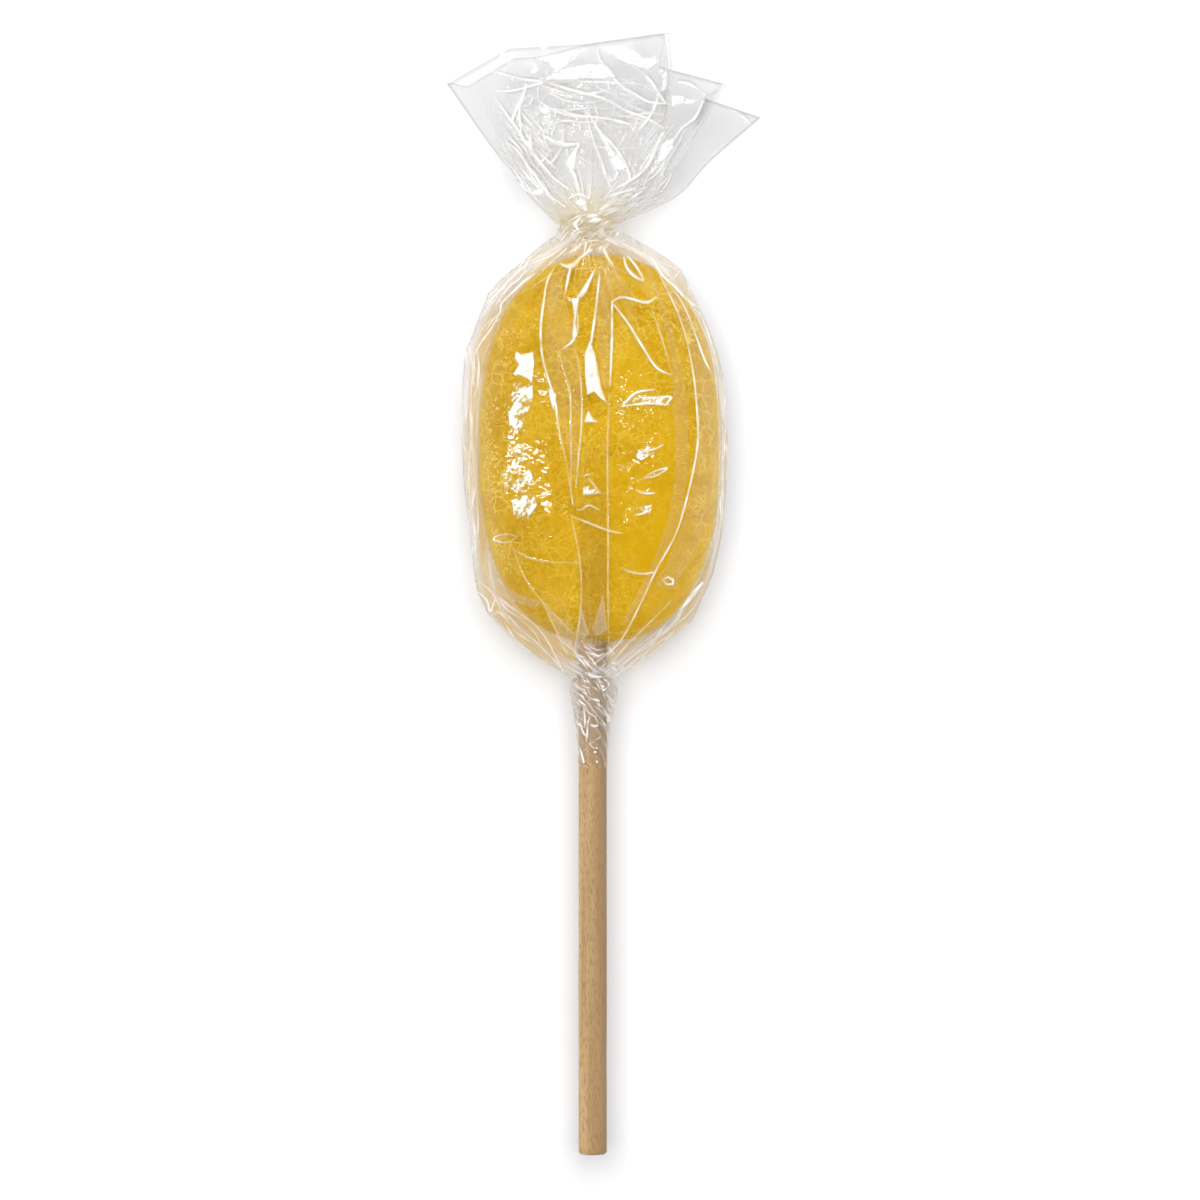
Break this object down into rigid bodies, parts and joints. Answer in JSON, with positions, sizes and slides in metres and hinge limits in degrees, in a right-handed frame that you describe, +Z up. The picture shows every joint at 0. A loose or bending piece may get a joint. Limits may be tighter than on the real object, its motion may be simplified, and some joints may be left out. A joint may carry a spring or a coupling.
{
  "type": "lollipop",
  "caption": "Long oval golden hard candy on a wooden dowel stick, in a clear film wrapper twisted shut above the candy and round the stick, lying on its back.",
  "frame": {"origin": "middle of the whole lollipop's footprint, on the surface that it lies on", "axes": "+Y along the stick from its free end to the wrapper's fan, +Z up out of the shown side, +X to the right as the picture shows it"},
  "size_m": [0.0442, 0.1578, 0.0152],
  "materials": {
    "candy": "translucent golden hard candy, glossy and finely crackled",
    "stick": "plain light dowel with long brown grain flecks",
    "film": "clear crisp cellophane with sharp creases"
  },
  "bodies": {
    "root": {"candy": "candy", "stick": "stick", "wrapper": "film"}
  },
  "joints": []
}
